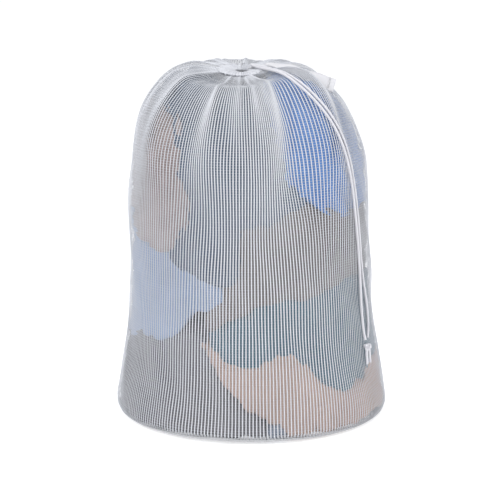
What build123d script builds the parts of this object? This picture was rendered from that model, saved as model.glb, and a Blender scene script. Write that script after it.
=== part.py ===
from build123d import *

import math
import os

# A full mesh laundry bag with its mouth drawn shut. Millimetres, +Z up.
# The origin is the middle of the base, on the floor. -Y is the front, +X the bag's right-hand side
# as it is looked at. Two net panels are sewn to each other at the sides and along the front lower
# edge, their hems hold the drawstring, and the laundry inside keeps the limp net in shape.

# ---------------------------------------------------------------- driving dimensions

FLAT_CIRCUMFERENCE = 1219.0          # two 24 inch panels, edge to edge
CORNER_HEIGHT = 13.0                 # height of the widest ring, just above the floor
WIDEST_RADIUS = 198.5                # the net spreads a little where the load pushes it out
BODY_RADIUS = 0.893 * FLAT_CIRCUMFERENCE / (2 * math.pi)   # half way up, where the net hangs in folds
SHOULDER_HEIGHT = 475.0
CROWN_HEIGHT = 505.5
TOP_LEAN = -9.0                      # how far the crown leans to the left of the base

NET_THICKNESS = 1.2
SEAM_WIDTH = 7.0
SEAM_BULGE = 0.8                     # the seams stand this far out of the net
LOAD_GAP = 4.0                       # from the outside of the net to the laundry

BEYOND_BAG = 260.0                   # further out in plan than any piece
BELOW_FLOOR = -20.0
ABOVE_BAG = 560.0
SIDE_BEND_LEFT = -105.0              # the side seams leave the middle line here, towards the mouth
SIDE_BEND_RIGHT = 100.0

MOUTH_CENTRE = (-13.0, -16.0, 500.0)
MOUTH_TILT = 3.0                     # degrees, the mouth faces slightly forward
MOUTH_RADIUS = 9.5
HEM_RADIUS = 33.7                    # outside of the gathered hem
HEM_CLEARANCE = 0.3
HEM_PROFILE = [                      # from the middle of the mouth: radius, height
    (MOUTH_RADIUS, -2.5), (20.0, -0.6), (HEM_RADIUS, 3.2),
    (HEM_RADIUS, -0.2), (22.0, -8.0), (MOUTH_RADIUS, -9.5),
]
STITCH_PROFILE = [(30.4, 2.3), (31.6, 2.63), (31.6, 3.3), (30.4, 3.3)]

CORD_RADIUS = 2.0
CHANNEL_RADIUS = 2.8                 # the tunnel in the hem
CHANNEL_RING_RADIUS = 17.0           # the loop of cord round the mouth
CHANNEL_DEPTH = -4.6                 # below the middle of the mouth
BUTTONHOLE_TOP = 0.3                 # above the middle of the mouth
EXIT_TOP = -0.4                      # the cord in the buttonhole stops just under the free strands
BUTTONHOLE_RIM = 1.2                 # the sewn edge round the slot
EXIT_ANGLE = 35.0                    # where the cord leaves the hem, about the mouth
EXIT_SPACING = 2.4                   # half of the distance between the two strands
EXIT_TURN = 61.4                     # the two strands stand side by side along this direction

KNOT_RADIUS = 6.2
KNOT_CENTRE = (164.0, -95.5, 112.0)

STRAP_THICKNESS = 1.8                # tape folded double
TACK_FROM_END = 9.0
TACK_LENGTH = 2.4
TACK_EDGE = 3.0                      # the tape beyond each side of the tack
TACK_STAND_OUT = 0.6                 # above and below the tape

# Ring by ring up the outside of the bag: height, radius.
BASE_RINGS = [(0.0, 184.0), (5.0, 194.5), (CORNER_HEIGHT, WIDEST_RADIUS), (40.0, 194.5)]
BODY_RINGS = [(90.0, 186.0), (160.0, 178.0), (250.0, BODY_RADIUS), (340.0, 169.5), (400.0, 162.5)]
SHOULDER_RINGS = [(445.0, 149.0), (SHOULDER_HEIGHT, 129.5), (494.0, 106.0), (503.0, 80.0)]

# The last rings shift forward and tip towards the mouth: height, radius, (x, y), tilt.
CROWN_RINGS = [
    (CROWN_HEIGHT, 62.0, (-10.0, -3.0), 2.0),
    (505.0, 48.0, (-11.5, -9.0), 3.0),
    (503.4, HEM_RADIUS, (-13.0, -16.0), 3.0),
]

# The two strands run over the right front shoulder and down to the knot.
TAIL_A = [
    (-0.2, -8.3, 503.0), (6.5, -22, 504), (15, -38, 506.5), (27, -57, 508), (42, -76, 505.5),
    (58, -90, 496.5), (75, -99, 481.5), (90, -104, 463.5), (104, -104, 445), (116, -102, 425),
    (126, -100, 400), (134, -98, 372), (140, -95, 340), (144, -92, 306), (148, -90, 270),
    (151, -88, 236), (153, -89, 206), (154, -91.5, 180), (156, -92, 157), (157.5, -94, 137),
    (161, -96, 122),
]
TAIL_B = [
    (2.1, -4.1, 503.0), (11.5, -19.5, 504.2), (19.5, -35, 506.8), (31, -53.5, 508), (46, -72, 505.5),
    (61.5, -85, 497), (77.5, -93.5, 482.5), (93, -99, 465), (107.5, -99, 446.5), (120, -97, 426),
    (130, -95, 401), (137.5, -93, 373), (143, -90, 341), (147.5, -87, 307), (151, -85, 271),
    (154, -83, 237), (157, -80.5, 209), (161, -76, 186), (164, -73, 166), (165.5, -74, 149),
    (166, -80, 135), (164.5, -89, 124),
]

# The ends of the two strands beyond the knot.
END_A = [(163.5, -95.5, 108), (163.0, -95.0, 99), (164.5, -94.2, 92), (164.0, -94.5, 86)]
END_B = [(166.5, -92.5, 109), (168.0, -89.5, 100), (168.0, -88.5, 93), (169.5, -87.5, 87)]

# The folded tape on the right shoulder: centre, width, (direction of its width).
STRAP_STATIONS = [
    ((24.0, -6.0, 507.5), 11.0, (0.35, 0.90, 0.15)),
    ((52.0, -38.0, 510.0), 19.0, (0.45, 0.75, 0.40)),
    ((84.0, -56.0, 502.5), 22.0, (0.50, 0.62, 0.52)),
    ((119.0, -55.0, 481.5), 22.0, (0.55, 0.50, 0.60)),
]

# The laundry, as it lies against the front of the net: outlines in (x, z).
GARMENTS = {
    "laundry_taupe_shirt": [
        (-200, 330), (-200, 455), (-140, 455), (-96, 440), (-92, 360), (-78, 320), (-80, 292),
        (-108, 252), (-146, 262), (-158, 290), (-174, 325),
    ],
    "laundry_lavender_sheet": [
        (-200, 130), (-200, 330), (-174, 325), (-158, 290), (-146, 262), (-108, 252), (-74, 222),
        (-38, 218), (-30, 200), (-48, 186), (-78, 180), (-96, 148), (-118, 136), (-146, 140),
        (-172, 122),
    ],
    "laundry_slate_shirt": [
        (-200, 455), (-200, 510), (12, 510), (22, 470), (30, 400), (45, 345), (74, 322), (44, 308),
        (14, 292), (-18, 296), (-10, 252), (-24, 216), (-38, 218), (-74, 222), (-108, 252),
        (-80, 292), (-78, 320), (-92, 360), (-96, 440), (-140, 455),
    ],
    "laundry_blue_shirt": [
        (12, 510), (140, 510), (200, 440), (200, 305), (164, 308), (116, 296), (98, 306),
        (74, 322), (45, 345), (30, 400), (22, 470),
    ],
    "laundry_grey_trousers": [
        (74, 322), (98, 306), (116, 296), (164, 308), (200, 305), (200, 212), (160, 210),
        (122, 218), (100, 206), (54, 196), (10, 192), (-22, 176), (-62, 154), (-60, 176),
        (-48, 186), (-30, 200), (-38, 218), (-24, 216), (-10, 252), (-18, 296), (14, 292),
        (44, 308),
    ],
    "laundry_teal_towel": [
        (-62, 154), (-22, 176), (10, 192), (54, 196), (100, 206), (122, 218), (160, 210),
        (200, 212), (200, 105), (174, 92), (152, 74), (126, 64), (98, 78), (70, 110), (52, 128),
        (30, 128), (10, 114), (-28, 114), (-44, 126),
    ],
    "laundry_peach_sheet": [
        (-62, 154), (-44, 126), (-28, 114), (10, 114), (30, 128), (52, 128), (70, 110), (98, 78),
        (126, 64), (152, 74), (174, 92), (200, 105), (200, 0), (56, 0), (44, 26), (20, 32),
        (-8, 52), (-38, 84), (-54, 118),
    ],
    "laundry_grey_sheet": [
        (-200, 0), (-200, 130), (-172, 122), (-146, 140), (-118, 136), (-96, 148), (-62, 154),
        (-54, 118), (-38, 84), (-8, 52), (20, 32), (24, 0),
    ],
    "laundry_blue_socks": [(24, 0), (20, 32), (44, 26), (56, 0)],
}
GARMENT_BACK = 36.0                  # the front garments reach this far behind the middle
DEPTH_LIMIT = 210.0                  # further out than any garment

# The laundry behind them: outlines in (x, z).
BACK_GARMENTS = {
    "laundry_white_towel": [(-200, 330), (-200, 510), (200, 510), (200, 300), (60, 340), (-60, 350)],
    "laundry_sand_blanket": [(-200, 330), (-60, 350), (60, 340), (200, 300), (200, 170), (-200, 190)],
    "laundry_charcoal_jumper": [(-200, 190), (0, 180), (0, 0), (-200, 0)],
    "laundry_denim_trousers": [(0, 180), (200, 170), (200, 0), (0, 0)],
}
DARK_SOCK_RADIUS = 30.0
DARK_SOCK_HEIGHT = 24.0
DARK_SOCK_CENTRE_HEIGHT = 463.0
DARK_SOCK_ROUNDING = 8.0
HEADSPACE_HEIGHT = 478.0             # nothing but air above this level under the hem
HEADSPACE_RADIUS = 44.0


# ---------------------------------------------------------------- the shape of the filled bag

def lean(height):
    """How far the middle of the bag has moved to the side at this height."""
    return TOP_LEAN * (height / CROWN_HEIGHT) ** 2


def all_rings():
    """Every ring from the floor to the hem: height, radius, (x, y), tilt."""
    upright = BASE_RINGS + BODY_RINGS + SHOULDER_RINGS
    rings = [(height, radius, (lean(height), 0.0), 0.0) for height, radius in upright]
    return rings + CROWN_RINGS


def outward(rings, index):
    """The direction away from the bag at a ring: how much of it is sideways, how much is up."""
    below = rings[max(index - 1, 0)]
    above = rings[min(index + 1, len(rings) - 1)]
    if index == 0:
        return 0.5, -1.0
    across = above[1] - below[1]
    up = above[0] - below[0]
    length = math.hypot(across, up)
    return up / length, -across / length


def filled_bag(inset):
    """The solid inside the bag's surface, moved inwards by the inset."""
    rings = all_rings()
    circles = []
    for index, (height, radius, (x, y), tilt) in enumerate(rings):
        sideways, up = outward(rings, index)
        slope = math.radians(tilt)
        plane = Plane(
            origin=(x, y, height - inset * up),
            x_dir=(1, 0, 0),
            z_dir=(0, -math.sin(slope), math.cos(slope)),
        )
        circles.append(Wire.make_circle(radius - inset * sideways, plane))
    return Solid.make_loft(circles)


def mouth_plane():
    """The plane of the drawn mouth, tipped a little towards the front."""
    slope = math.radians(MOUTH_TILT)
    return Plane(origin=MOUTH_CENTRE, x_dir=(1, 0, 0), z_dir=(0, -math.sin(slope), math.cos(slope)))


def plan_zone(points, low=BELOW_FLOOR, high=ABOVE_BAG):
    """A block standing on an outline drawn in plan."""
    face = make_face(Polyline(*points, close=True))
    return Pos(0, 0, low) * extrude(face, high - low)


def side_line(offset):
    """The line in plan that parts front from back, bending to pass through the mouth."""
    return [
        (-BEYOND_BAG, offset),
        (SIDE_BEND_LEFT, offset),
        (MOUTH_CENTRE[0], MOUTH_CENTRE[1] + offset),
        (SIDE_BEND_RIGHT, offset),
        (BEYOND_BAG, offset),
    ]


def only_solid(shape):
    """The largest solid of a shape, or of the list of shapes that a cut can leave."""
    shapes = shape if isinstance(shape, list) else [shape]
    solids = [solid for item in shapes for solid in item.solids()]
    return max(solids, key=lambda solid: solid.volume)


# ---------------------------------------------------------------- net panels and seams

def net_pieces():
    """Front panel, back panel with the base, the two side seams and the bottom seam."""
    half_seam = SEAM_WIDTH / 2
    outer = filled_bag(0.0)
    shell = outer - filled_bag(NET_THICKNESS)
    thick_shell = filled_bag(-SEAM_BULGE) - filled_bag(NET_THICKNESS)

    hem_hole = mouth_plane() * Cylinder(HEM_RADIUS + HEM_CLEARANCE, ABOVE_BAG - CROWN_HEIGHT)
    shell = shell - hem_hole
    thick_shell = thick_shell - hem_hole

    seam_foot = SEAM_WIDTH + 1           # the bottom seam starts one seam's width above the floor
    front_edge = side_line(-half_seam)
    back_edge = side_line(half_seam)
    front = plan_zone([(-BEYOND_BAG, -BEYOND_BAG), *front_edge, (BEYOND_BAG, -BEYOND_BAG)])
    back = plan_zone([(-BEYOND_BAG, BEYOND_BAG), *back_edge, (BEYOND_BAG, BEYOND_BAG)])
    left_band = plan_zone([*front_edge[:3], *reversed(back_edge[:3])], low=seam_foot)
    right_band = plan_zone([*front_edge[2:], *reversed(back_edge[2:])], low=seam_foot)
    everywhere = [(-BEYOND_BAG, -BEYOND_BAG), (BEYOND_BAG, -BEYOND_BAG),
                  (BEYOND_BAG, BEYOND_BAG), (-BEYOND_BAG, BEYOND_BAG)]
    below_seam = plan_zone(everywhere, high=seam_foot)
    seam_layer = plan_zone(everywhere, low=seam_foot, high=seam_foot + SEAM_WIDTH)

    return {
        "front_mesh_panel": only_solid((shell & front) - below_seam - seam_layer),
        "back_mesh_panel": only_solid((shell & back) + (shell & below_seam)),
        "left_side_seam": only_solid(thick_shell & left_band),
        "right_side_seam": only_solid(thick_shell & right_band),
        "bottom_seam": only_solid((thick_shell & front) & seam_layer),
    }


# ---------------------------------------------------------------- the gathered hem

def hem_ring():
    """The gathered hem round the mouth, with the tunnel for the cord inside it."""
    ring = revolve(Plane.XZ * make_face(Polyline(*HEM_PROFILE, close=True)), Axis.Z)
    return ring - Pos(0, 0, CHANNEL_DEPTH) * Torus(CHANNEL_RING_RADIUS, CHANNEL_RADIUS)


def exit_place():
    """Where the two strands come up through the hem, in the mouth's own plane."""
    angle = math.radians(EXIT_ANGLE)
    return Location(
        (CHANNEL_RING_RADIUS * math.cos(angle), CHANNEL_RING_RADIUS * math.sin(angle), 0),
        (0, 0, EXIT_TURN),
    )


def hem_pieces():
    """The two hem halves, the buttonhole, the stitching and the cord that lies in the hem."""
    slot_length = 2 * (EXIT_SPACING + CHANNEL_RADIUS)
    slot = SlotOverall(slot_length, 2 * CHANNEL_RADIUS)
    wide_slot = SlotOverall(slot_length + 2 * BUTTONHOLE_RIM, 2 * (CHANNEL_RADIUS + BUTTONHOLE_RIM))

    sleeve_hole = exit_place() * Pos(0, 0, CHANNEL_DEPTH) * extrude(wide_slot, ABOVE_BAG - CROWN_HEIGHT)
    ring = only_solid(hem_ring() - sleeve_hole)
    half_space = Box(2 * BEYOND_BAG, 2 * BEYOND_BAG, 2 * HEM_RADIUS)
    front = only_solid(ring & Pos(0, -BEYOND_BAG, 0) * half_space)
    back = only_solid(ring & Pos(0, BEYOND_BAG, 0) * half_space)

    sleeve_height = BUTTONHOLE_TOP - CHANNEL_DEPTH - CHANNEL_RADIUS / 2
    sleeve = extrude(wide_slot, sleeve_height) - extrude(slot, sleeve_height)
    buttonhole = exit_place() * Pos(0, 0, CHANNEL_DEPTH + CHANNEL_RADIUS / 2) * sleeve
    buttonhole = buttonhole - Pos(0, 0, CHANNEL_DEPTH) * Torus(CHANNEL_RING_RADIUS, CHANNEL_RADIUS)

    loop = Pos(0, 0, CHANNEL_DEPTH) * Torus(CHANNEL_RING_RADIUS, CORD_RADIUS)
    exit_bottom = CHANNEL_DEPTH + CORD_RADIUS + 0.05
    exit_strand = Pos(0, 0, exit_bottom) * extrude(Circle(CORD_RADIUS), EXIT_TOP - exit_bottom)

    stitching = revolve(Plane.XZ * make_face(Polyline(*STITCH_PROFILE, close=True)), Axis.Z)

    flat_pieces = {
        "front_hem": front,
        "back_hem": back,
        "hem_stitching": stitching,
        "cord_buttonhole": buttonhole,
        "drawstring_loop": loop,
        "drawstring_exit_a": exit_place() * Pos(-EXIT_SPACING, 0, 0) * exit_strand,
        "drawstring_exit_b": exit_place() * Pos(EXIT_SPACING, 0, 0) * exit_strand,
    }
    return {name: mouth_plane() * only_solid(piece) for name, piece in flat_pieces.items()}


# ---------------------------------------------------------------- drawstring

def corner_radii(points):
    """For each corner, 0.45 of its shorter run over the tangent of half of its turn."""
    radii = []
    for before, corner, after in zip(points, points[1:], points[2:]):
        first = Vector(*corner) - Vector(*before)
        second = Vector(*after) - Vector(*corner)
        turn = math.radians(first.get_angle(second))
        radii.append(0.45 * min(first.length, second.length) / math.tan(turn / 2))
    return radii


def cord(name, points, round_start=False):
    """A cord of straight runs joined by tangent arcs."""
    radii = corner_radii(points)
    path = FilletPolyline(*points, radius=radii)
    section = Plane(origin=path @ 0, z_dir=path % 0) * Circle(CORD_RADIUS)
    tube = sweep(section, path=path)
    expected = math.pi * CORD_RADIUS ** 2 * path.length
    print(name, "length", round(path.length, 1), "smallest radius", round(min(radii), 1),
          "volume against section x length", round(tube.volume / expected, 4))
    if round_start:
        tube = tube + Pos(*points[0]) * Sphere(CORD_RADIUS)
    return tube


def drawstring_pieces():
    """The two hanging strands, the knot that joins them and their ends."""
    knot = Pos(*KNOT_CENTRE) * Sphere(KNOT_RADIUS)
    return {
        "drawstring_tail_a": only_solid(cord("tail a", TAIL_A, round_start=True) - knot),
        "drawstring_tail_b": only_solid(cord("tail b", TAIL_B, round_start=True) - knot),
        "drawstring_knot": only_solid(knot),
        "drawstring_end_a": only_solid(cord("end a", END_A) - knot),
        "drawstring_end_b": only_solid(cord("end b", END_B) - knot),
    }


# ---------------------------------------------------------------- strap

def strap_pieces():
    """The folded tape on the shoulder and the bar tack that closes its end."""
    sections = []
    centres = [Vector(*centre) for centre, width, across in STRAP_STATIONS]
    for index, (centre, width, across) in enumerate(STRAP_STATIONS):
        before = centres[max(index - 1, 0)]
        after = centres[min(index + 1, len(centres) - 1)]
        along = (after - before).normalized()
        side = Vector(*across)
        side = (side - along * side.dot(along)).normalized()
        plane = Plane(origin=centre, x_dir=side, z_dir=along)
        sections.append(plane * Rectangle(width, STRAP_THICKNESS))
    strap = loft(sections)

    end, width, across = STRAP_STATIONS[-1]
    along = (centres[-1] - centres[-2]).normalized()
    side = Vector(*across)
    side = (side - along * side.dot(along)).normalized()
    tack_plane = Plane(origin=centres[-1] - along * TACK_FROM_END, x_dir=side, z_dir=along)
    tack_outer = tack_plane * Box(
        width - 2 * TACK_EDGE, STRAP_THICKNESS + 2 * TACK_STAND_OUT, TACK_LENGTH)
    return {
        "hanging_strap": only_solid(strap - tack_outer),
        "strap_bar_tack": only_solid(tack_outer),
    }


# ---------------------------------------------------------------- laundry

def garment(outline, low_y, high_y, envelope):
    """One garment: its outline, as deep as given, inside the net."""
    face = make_face(Polyline(*outline, close=True))
    block = extrude(Plane.XZ.offset(-low_y) * face, dir=(0, 1, 0), amount=high_y - low_y)
    return only_solid(block & envelope)


def laundry_pieces():
    """The garments, cut out of the space inside the net."""
    headspace = Pos(MOUTH_CENTRE[0], MOUTH_CENTRE[1], HEADSPACE_HEIGHT + 30) \
        * Cylinder(HEADSPACE_RADIUS, 60)
    sock_place = Pos(MOUTH_CENTRE[0], MOUTH_CENTRE[1], DARK_SOCK_CENTRE_HEIGHT)
    sock_room = sock_place * Cylinder(DARK_SOCK_RADIUS, DARK_SOCK_HEIGHT + 20)
    envelope = filled_bag(LOAD_GAP) - headspace - sock_room

    pieces = {}
    for name, outline in GARMENTS.items():
        pieces[name] = garment(outline, -DEPTH_LIMIT, GARMENT_BACK, envelope)
    for name, outline in BACK_GARMENTS.items():
        pieces[name] = garment(outline, GARMENT_BACK, DEPTH_LIMIT, envelope)
    sock = Cylinder(DARK_SOCK_RADIUS, DARK_SOCK_HEIGHT)
    pieces["laundry_dark_socks"] = only_solid(sock_place * fillet(sock.edges(), DARK_SOCK_ROUNDING))
    return pieces


# ---------------------------------------------------------------- all of it

def main():
    pieces = {}
    pieces.update(net_pieces())
    pieces.update(hem_pieces())
    pieces.update(drawstring_pieces())
    pieces.update(strap_pieces())
    pieces.update(laundry_pieces())
    os.makedirs("parts", exist_ok=True)
    for name, solid in pieces.items():
        solid.label = name
        export_step(solid, os.path.join("parts", name + ".step"))
    print(len(pieces), "pieces")


main()
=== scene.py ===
# %% [markdown]
# # A mesh laundry bag, full and drawn shut
#
# The bag is two panels of white knitted net, sewn to each other at the sides and along the front
# lower edge. Their doubled upper edges, the hems, hold a drawstring. Drawn tight, it gathers the
# net into pleats round a hole that a finger fits through. The two strands of cord run over the
# right shoulder to a knot. The laundry inside gives the limp net its shape.
#
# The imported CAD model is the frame. It comes first, because every size and place is read from it.

# %% Load the frame
import math

import bmesh
import bpy
import numpy as np
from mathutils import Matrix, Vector


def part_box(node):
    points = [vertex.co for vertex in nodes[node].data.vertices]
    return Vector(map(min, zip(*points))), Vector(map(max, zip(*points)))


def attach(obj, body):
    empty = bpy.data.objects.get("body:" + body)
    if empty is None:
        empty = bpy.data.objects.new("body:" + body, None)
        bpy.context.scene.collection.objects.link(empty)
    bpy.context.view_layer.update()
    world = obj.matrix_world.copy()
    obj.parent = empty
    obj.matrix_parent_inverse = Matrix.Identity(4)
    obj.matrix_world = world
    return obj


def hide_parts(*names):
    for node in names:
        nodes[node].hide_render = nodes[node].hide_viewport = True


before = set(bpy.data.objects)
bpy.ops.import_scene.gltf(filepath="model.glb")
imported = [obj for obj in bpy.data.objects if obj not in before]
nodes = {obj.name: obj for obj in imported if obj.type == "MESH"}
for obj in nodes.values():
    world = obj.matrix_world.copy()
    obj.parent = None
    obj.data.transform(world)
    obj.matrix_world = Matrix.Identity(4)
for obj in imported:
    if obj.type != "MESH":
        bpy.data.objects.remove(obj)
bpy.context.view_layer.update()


# %% [markdown]
# ## The camera
#
# The camera comes before the pieces. It looks at the front from a little above, through a long
# lens, so the bag's sides stay nearly parallel. A pale floor fills the view behind the bag.

# %% Camera
VIEW_ELEVATION = math.radians(11.3)
VIEW_DISTANCE = 2.2
VIEW_WIDTH = 0.73
SENSOR_WIDTH = 0.036
view_target = np.array([-0.0019, 0.0, 0.2324])

camera_data = bpy.data.cameras.new("camera")
camera_data.sensor_width = SENSOR_WIDTH * 1000
camera_data.lens = SENSOR_WIDTH * 1000 * VIEW_DISTANCE / VIEW_WIDTH
camera_data.clip_end = 50
camera = bpy.data.objects.new("camera", camera_data)
bpy.context.collection.objects.link(camera)
toward_camera = np.array([0.0, -math.cos(VIEW_ELEVATION), math.sin(VIEW_ELEVATION)])
camera.location = view_target + VIEW_DISTANCE * toward_camera
camera.rotation_euler = (math.pi / 2 - VIEW_ELEVATION, 0, 0)
bpy.context.scene.camera = camera
print("lens", round(camera_data.lens, 1), "mm")


# %% [markdown]
# ## Helpers for meshes
#
# Every piece is a surface of two parameters on a grid. One helper turns a grid of points into a
# mesh with faces between neighbours, closes it round a loop where asked, and puts lids on its ends.

# %% Grid helpers
def smoothstep(value, low, high):
    """0 at low, 1 at high, and between them 3t^2 - 2t^3, where t is the share of the way."""
    t = np.clip((value - low) / (high - low), 0.0, 1.0)
    return t * t * (3 - 2 * t)


def unit(vectors):
    """Each vector divided by its length."""
    return vectors / np.maximum(np.linalg.norm(vectors, axis=-1, keepdims=True), 1e-12)


def new_piece(name, points, faces, material=None, smooth=True, uv=None):
    """A mesh object from an array of points and an array or list of faces; uv is one pair a point."""
    mesh = bpy.data.meshes.new(name)
    mesh.from_pydata(np.asarray(points).reshape(-1, 3).tolist(), [], [list(f) for f in faces])
    if uv is not None:
        layer = mesh.uv_layers.new(name="UVMap")
        loops = np.empty(len(mesh.loops), dtype=np.int32)
        mesh.loops.foreach_get("vertex_index", loops)
        layer.data.foreach_set("uv", np.asarray(uv).reshape(-1, 2)[loops].ravel())
    mesh.polygons.foreach_set("use_smooth", np.full(len(mesh.polygons), smooth))
    if material is not None:
        mesh.materials.append(material)
    mesh.update()
    piece = bpy.data.objects.new(name, mesh)
    bpy.context.collection.objects.link(piece)
    return piece


def grid_faces(rows, columns, first=0, close_columns=False):
    """Four-cornered faces between neighbours of a grid whose points are numbered row by row."""
    last = columns if close_columns else columns - 1
    row, column = np.meshgrid(np.arange(rows - 1), np.arange(last), indexing="ij")
    after = (column + 1) % columns
    corners = [row * columns + column, row * columns + after,
               (row + 1) * columns + after, (row + 1) * columns + column]
    return np.stack(corners, axis=-1).reshape(-1, 4) + first


def tube_faces(rows, columns, first=0):
    """A tube of closed rings, with a flat lid on each end."""
    around = grid_faces(rows, columns, first, close_columns=True).tolist()
    start = [first + c for c in range(columns)][::-1]
    end = [first + (rows - 1) * columns + c for c in range(columns)]
    return around + [start, end]


def face_outwards(piece):
    """Turns all faces outwards; on a closed shape this also settles a winding made inside out."""
    edit = bmesh.new()
    edit.from_mesh(piece.data)
    bmesh.ops.recalc_face_normals(edit, faces=edit.faces)
    edit.to_mesh(piece.data)
    edit.free()
    return piece


def along_curve(points, count, closed=False):
    """Points evenly spaced along a smooth line through the given ones.

    Between two points the line is a cubic whose slope at each is half of the step across it. The
    first three columns are the place; further ones, such as a width, are carried along with it.
    """
    points = np.asarray(points, dtype=float)
    if closed:
        around = np.vstack([points[-1:], points, points[:2]])
    else:
        around = np.vstack([2 * points[0] - points[1], points, 2 * points[-1] - points[-2]])
    t = np.linspace(0, 1, 40, endpoint=False)[None, :, None]
    p0, p1, p2, p3 = (around[k:len(around) - 3 + k, None, :] for k in range(4))
    spans = 0.5 * (2 * p1 + (p2 - p0) * t + (2 * p0 - 5 * p1 + 4 * p2 - p3) * t ** 2
                   + (3 * p1 - p0 - 3 * p2 + p3) * t ** 3)
    line = spans.reshape(-1, points.shape[1])
    line = np.vstack([line, points[:1] if closed else points[-1:]])
    steps = np.linalg.norm(np.diff(line[:, :3], axis=0), axis=1)
    travelled = np.concatenate([[0], np.cumsum(steps)])
    wanted = np.linspace(0, travelled[-1], count, endpoint=not closed)
    return np.stack([np.interp(wanted, travelled, line[:, k]) for k in range(points.shape[1])], axis=1)


def frames_along(line, up=(0.0, 0.0, 1.0), closed=False):
    """At each point of a line: the way along it, a side square to that, and the third direction.

    The side is carried along the line, turned only as much as the line turns.
    """
    if closed:
        along = unit(np.roll(line, -1, axis=0) - np.roll(line, 1, axis=0))
    else:
        along = unit(np.gradient(line, axis=0))
    side = np.empty_like(along)
    current = np.cross(along[0], up)
    if np.linalg.norm(current) < 1e-6:
        current = np.cross(along[0], (1.0, 0.0, 0.0))
    for k, direction in enumerate(along):
        current = current - direction * current.dot(direction)
        current = current / np.linalg.norm(current)
        side[k] = current
    return along, side, np.cross(along, side)


# %% [markdown]
# ## Cloth and cord materials
#
# All of the bag is polyester: a smooth yarn with a faint sheen. What differs is how the yarn lies,
# so one function makes a yarn finish from its colour, the pitch of its twist and the strength of
# its relief. The pattern follows each piece's own UV map, which is in metres along and across.

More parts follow.
